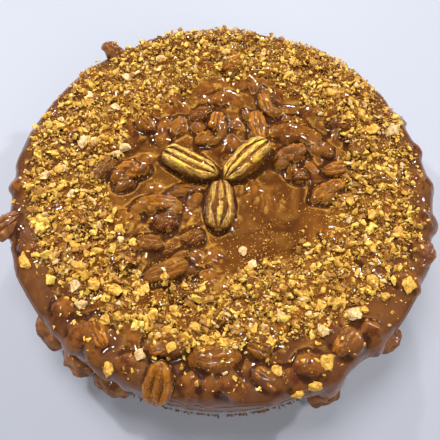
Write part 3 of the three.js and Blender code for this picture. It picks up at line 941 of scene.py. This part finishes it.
def collarMesh():
    # one strip of film round the side, its outer end springing away
    shape = collarShape
    run = np.linspace(0, shape['span'], shape['steps'])
    past = np.maximum(0, run - shape['springsAt'])
    out = 0.9 * np.minimum(1, past / 7) + 0.06 * np.maximum(0, past - 8) ** 2
    radius = fillingHigh[0] + 0.3 + shape['thickness'] / 2 + out
    turn = np.radians(shape['start'] + run)
    low, high = collarLow[2], collarHigh[2]
    lean = 0.05 * waves(turn * 114, np.zeros_like(turn), 60, 4, 2) * (past == 0)
    corners = []
    for side, height in ((0.5, low), (0.5, high), (-0.5, high), (-0.5, low)):
        reach = radius + side * shape['thickness'] + (lean if height == high else 0)
        corners.append(aroundAxis(reach, turn, height))
    points = np.stack(corners, 1).reshape(-1, 3)
    faces = []
    for step in range(shape['steps'] - 1):
        for k in range(4):
            a, b = step * 4 + k, step * 4 + (k + 1) % 4
            faces.append([a, a + 4, b + 4, b])
    last = (shape['steps'] - 1) * 4
    faces.append([0, 1, 2, 3])
    faces.append([last + 3, last + 2, last + 1, last])
    return points, faces


def footCrumbs():
    # crumbs fallen from the base, lying against the foot of the side
    draw = random.Random(77)
    parts = []
    for k in range(sideShape['looseCrumbs']):
        turn = radians(draw.choice((draw.gauss(-90, 22), draw.uniform(0, 360))))
        size = draw.uniform(0.6, 1.7) * (1.5 if k % 9 == 0 else 1)
        reach = crustHigh[0] + 0.6 + size * 0.5 + abs(draw.gauss(0, 0.6)) * (k % 5 == 0)
        shape = brokenNut(900 + k, 8, 0.8)
        points = np.array([vert.co[:] for vert in shape.verts]) * size
        faces = facesOf(shape)
        points += aroundAxis(reach, turn, 0.02 - points[:, 2].min())
        parts.append((points, faces, {'tone': np.full(len(points), draw.random())}))
    return joinParts(parts)


points, faces, values = footCrumbs()
footPiece = makePiece('footCrumbs', points, faces, (), values, smooth=False)
points, faces = collarMesh()
collarPiece = makePiece('collarFilm', points, faces, ['collar'])
collarPiece.data.set_sharp_from_angle(angle=radians(40))
print('side made')


def caramelFinish():
    paint = Paint('caramelGloss')
    thin, hollow, crest = paint.attribute('thin'), paint.attribute('hollow'), paint.attribute('crest')
    broad = paint.noise(34, 3, 0.55)
    mottle = paint.noise(190, 3, 0.6)
    swirl = paint.noise(75, 3, 0.6, distortion=2.2)
    speck = paint.noise(850, 3, 0.7)
    split = paint.node('ShaderNodeSeparateXYZ', {}, {'Vector': paint.place}, 0).socket.node
    x, y, z = (Wire(paint, split.outputs[k]) for k in range(3))
    reach = (x * x + y * y) ** 0.5
    rim = paint.ramp(reach, 0.080, 0.110)
    fall = paint.ramp(z, 0.056, 0.047)
    body = paint.blend(broad, 0.35, 0.68, (66, 30, 8), (114, 66, 18))
    # painted sheen: broad lighter golden patches laid over the caramel
    sheenPatches = paint.noise(48, 3, 0.5, distortion=1.6)
    body = paint.over(
        body,
        (paint.ramp(sheenPatches, 0.46, 0.72) * 0.55, 144, 94, 34),
        (paint.ramp(mottle, 0.45, 0.7) * 0.22, 74, 36, 12),
        (rim * 0.62, 92, 56, 38),
        (fall * 0.85, 124, 78, 56),
        (thin * paint.ramp(mottle, 0.6, 0.4) * 0.5, 164, 98, 30),
        (thin * paint.ramp(mottle, 0.45, 0.62) * 0.75, 84, 30, 10),
        (crest * 0.25 * (1 - 0.6 * rim), 150, 94, 32),
        # painted shade: the caramel darkens to deep brown in the hollows between and around the nuts
        (paint.ramp(hollow, 0.25, 0.85) * 0.78, 46, 18, 6))
    sprinkle = paint.ramp(speck, 0.58, 0.66) * paint.ramp(swirl, 0.46, 0.62) * (1 - fall) * (1 - 0.75 * rim)
    lined = paint.ramp(hollow, 0.08, 0.3) * paint.ramp(hollow, 0.6, 0.35) * paint.ramp(swirl, 0.42, 0.55) \
        * (1 - fall) * (1 - 0.9 * rim)
    # gold dust stirred into the pool beside the lower gilded nut
    aside = ((x + 0.026) ** 2 + (y + 0.030) ** 2) ** 0.5
    whirl = paint.ramp(paint.noise(150, 4, 0.6, distortion=3.0), 0.57, 0.64)
    stirred = paint.ramp(aside, 0.026, 0.006) * whirl * (1 - hollow)
    shimmer = (0.8 * sprinkle + 0.42 * lined + 0.7 * stirred).clamp()
    body = paint.over(body, (shimmer, 226, 166, 70))
    bump = paint.bump(paint.noise(260, 4, 0.65), 0.09, 0.0006)
    dull = 0.05 + 0.1 * mottle + 0.12 * fall + 0.2 * shimmer
    return paint.finish(color=body, roughness=dull, normal=bump, metallic=shimmer * 0.35, ior=1.48)


def gildedFinish():
    paint = Paint('gildedPecan')
    dark, under, tone = paint.attribute('dark'), paint.attribute('under'), paint.attribute('tone')
    lines = paint.streaks(11, 1.1)
    rub = paint.noise(620, 4, 0.7)
    gold = paint.blend(rub, 0.34, 0.66, (164, 108, 38), (240, 198, 96))
    gold = paint.over(gold, (paint.ramp(paint.streaks(9, 2.6, 1.0), 0.52, 0.62) * 0.75, 250, 206, 58))
    shell = paint.blend(rub, 0.34, 0.66, (104, 60, 24), (172, 118, 54))
    worn = paint.ramp(0.5 * dark + lines + 0.2 * rub + 0.25 * under - 0.22 * tone, 0.5, 0.7)
    body = paint.mix(worn, gold, shell)
    glint = paint.ramp(paint.noise(760, 2, 0.6), 0.58, 0.66) * (1 - 0.8 * worn)
    body = paint.over(
        body,
        (glint * 0.8, 255, 228, 112),
        (paint.ramp(lines, 0.45, 0.35) * 0.75, 86, 44, 18),
        # painted shade on the nut's underside and outer edges
        (paint.ramp(under, 0.1, 0.7) * 0.6, 84, 44, 14),
        (paint.ramp(dark, 0.22, 0.5) * 0.96, 46, 20, 16))
    bump = paint.bump(paint.noise(900, 4, 0.65) + lines, 0.6, 0.0006)
    return paint.finish(color=body, roughness=0.3 + 0.25 * rub, metallic=0.4 * (1 - worn), normal=bump)


def glazedFinish(name, lightness=1.0):
    paint = Paint(name)
    dark, tone, under = paint.attribute('dark'), paint.attribute('tone'), paint.attribute('under')
    lines = paint.streaks(14, 1.3)
    grain = paint.noise(300, 4, 0.65)
    blotch = paint.noise(120, 2, 0.5)

    def shade(red, green, blue):
        return tint(red * lightness, green * lightness, blue * lightness)

    streaked = paint.ramp(0.5 * lines + 0.5 * grain, 0.34, 0.66)
    deep, coated, warm = (paint.mix(streaked, shade(*dim), shade(*light)) for dim, light in (
        ((58, 24, 8), (120, 54, 18)), ((82, 40, 14), (152, 96, 34)), ((118, 52, 12), (206, 128, 34))))
    body = paint.mix(paint.ramp(tone, 0.12, 0.45), deep, coated)
    body = paint.mix(paint.ramp(tone, 0.55, 0.95), body, warm)
    body = paint.mix(paint.ramp(blotch, 0.54, 0.62) * 0.8, body, shade(104, 58, 16))
    # painted shade on the underside and outer edges, darkened together with the grooves
    body = paint.mix((dark * 0.9 + under * 0.9).clamp(), body, shade(40, 14, 6))
    glint = paint.ramp(paint.noise(1300, 2, 0.6), 0.6, 0.68) * 0.8
    body = paint.over(body, (glint, 232, 176, 58))
    bump = paint.bump(0.5 * grain + lines, 0.5, 0.0008)
    return paint.finish(color=body, roughness=0.04 + 0.1 * grain, normal=bump, ior=1.55, metallic=glint * 0.5)


def coatedFinish():
    # nuts wholly under caramel on the side
    paint = Paint('coatedPecan')
    dark, mottle = paint.attribute('dark'), paint.noise(160, 3, 0.6)
    body = paint.blend(mottle, 0.35, 0.65, (104, 58, 32), (150, 98, 54))
    body = paint.over(body, (dark * 0.5, 92, 46, 20))
    bump = paint.bump(mottle, 0.2, 0.0008)
    return paint.finish(color=body, roughness=0.12 + 0.1 * mottle, normal=bump, ior=1.5)


def crumbFinish():
    paint = Paint('gildedCrumb')
    tone = paint.attribute('tone')
    grain = paint.noise(1300, 3, 0.65)
    patch = paint.ramp(0.6 * grain + 0.4 * paint.noise(420, 2, 0.5), 0.4, 0.6)
    tan, gold, leaf, cream = (paint.mix(patch, tint(*dim), tint(*light)) for dim, light in (
        ((118, 70, 22), (188, 132, 50)), ((176, 118, 34), (242, 196, 84)),
        ((222, 168, 52), (255, 228, 122)), ((186, 142, 82), (236, 210, 158))))
    body = paint.mix(paint.ramp(tone, 0.24, 0.34), tan, gold)
    shine = paint.ramp(tone, 0.6, 0.74) * paint.ramp(tone, 0.94, 0.92)
    body = paint.mix(shine, body, leaf)
    body = paint.mix(paint.ramp(tone, 0.92, 0.94), body, cream)
    bump = paint.bump(paint.noise(1600, 3, 0.6), 0.6, 0.0005)
    return paint.finish(color=body, roughness=0.34 + 0.3 * grain, metallic=shine * 0.5, normal=bump)


def crustFinish(name):
    paint = Paint(name)
    grain = paint.noise(420, 5, 0.7)
    body = paint.blend(grain, 0.35, 0.65, (104, 62, 30), (176, 122, 70))
    return paint.finish(color=body, roughness=0.85, normal=paint.bump(grain, 0.7, 0.0015))


def fillingFinish():
    paint = Paint('pecanFilling')
    cloud = paint.noise(30, 4, 0.6, stretch=(1, 1, 2.4))
    grain = paint.noise(700, 3, 0.6)
    body = paint.blend(cloud, 0.3, 0.7, (132, 84, 58), (168, 116, 86))
    body = paint.over(body, (paint.ramp(grain, 0.62, 0.72) * 0.4, 88, 50, 30))
    return paint.finish(color=body, roughness=0.42 + 0.2 * cloud, normal=paint.bump(grain, 0.2, 0.0005))


def filmFinish():
    paint = Paint('clearFilm')
    edge = paint.node('ShaderNodeLayerWeight', {}, {'Blend': 0.32}, 'Facing')
    streak = paint.noise(26, 3, 0.6, stretch=(1, 1, 5))
    veil = 0.03 + 0.16 * edge ** 3 + 0.07 * paint.ramp(streak, 0.55, 0.75)
    bump = paint.bump(paint.noise(14, 2, 0.5, stretch=(1, 1, 0.4)), 0.5, 0.004)
    return paint.finish(color=tint(226, 232, 240), roughness=0.08 + 0.06 * streak, alpha=veil.clamp(),
                        normal=bump, ior=1.5)


crumbLook = crumbFinish()
looks = [
    (caramelPiece, caramelFinish()), (gildedPiece, gildedFinish()), (chunkPiece, crumbLook),
    (glazedPiece, glazedFinish('glazedPecan')), (overRimPiece, glazedFinish('openPecan', 0.9)),
    (largePiece, crumbLook), (coatedPiece, coatedFinish()), (crustPiece, crustFinish('crumbCrust')),
    (footPiece, crustFinish('footCrumb')), (fillingPiece, fillingFinish()), (collarPiece, filmFinish()),
]
for piece, look in looks:
    piece.data.materials.clear()
    piece.data.materials.append(look)

for seed, (kind, facts) in enumerate(crumbKinds.items(), 1):
    strewCrumbs(kind, facts, caramelPiece.data, crumbLook, seed)


stageSet = {'floor': tint(166, 169, 179), 'world': tint(224, 226, 232), 'worldStrength': 0.16}


def paleFloor():
    size = 3.0
    mesh = bpy.data.meshes.new('floor')
    corners = [(-size, -size, 0), (size, -size, 0), (size, size, 0), (-size, size, 0)]
    mesh.from_pydata(corners, [], [(0, 1, 2, 3)])
    floor = addObject('floor', mesh)
    paint = Paint('floor')
    mesh.materials.append(paint.finish(color=stageSet['floor'], roughness=0.6))


def lamp(name, place, target, size, power, shines=True):
    data = bpy.data.lights.new(name, 'AREA')
    data.shape = 'DISK'
    data.size, data.energy = size, power
    light = addObject(name, data)
    light.visible_glossy = shines
    light.location = place
    light.rotation_euler = (Vector(target) - Vector(place)).to_track_quat('-Z', 'Y').to_euler()


paleFloor()
world = bpy.data.worlds.new('studio')
world.use_nodes = True
backdrop = world.node_tree.nodes['Background']
backdrop.inputs['Color'].default_value = (*stageSet['world'], 1)
backdrop.inputs['Strength'].default_value = stageSet['worldStrength']
bpy.context.scene.world = world
lamp('ceiling', (-0.2, 0.3, 1.3), (0, 0, 0), 0.6, 13, shines=False)
lamp('sparkleLeft', (-0.72, 0.50, 0.78), (0, 0, 0.05), 0.06, 6.5)
lamp('sparkleRight', (0.78, 0.45, 0.82), (0, 0, 0.05), 0.06, 6.2)
lamp('sparkleHigh', (0.06, -0.34, 1.3), (0, 0, 0.05), 0.06, 3.4)
lamp('sparkleBack', (0.12, 1.15, 0.72), (0, 0, 0.05), 0.06, 5.6)
lamp('front', (0.35, -0.9, 0.9), (0, 0, 0.03), 0.7, 4.2, shines=False)

view = {'place': (-0.00063, -0.15510, 0.32550), 'pitch': 63.75, 'roll': 3.11, 'lens': 46.08}
dip, roll = radians(view['pitch']), radians(view['roll'])
ahead = Vector((0, cos(dip), -sin(dip)))
right = Vector((1, 0, 0))
above = right.cross(ahead)
rightTurned = right * cos(roll) + above * sin(roll)
aboveTurned = above * cos(roll) - right * sin(roll)
camera = addObject('camera', bpy.data.cameras.new('camera'))
camera.data.lens, camera.data.sensor_width = view['lens'], 36
camera.data.clip_start = 0.01
facing = Matrix((rightTurned, aboveTurned, -ahead)).transposed().to_4x4()
camera.matrix_world = Matrix.Translation(view['place']) @ facing
bpy.context.scene.camera = camera
bpy.context.scene.view_settings.view_transform = 'Standard'
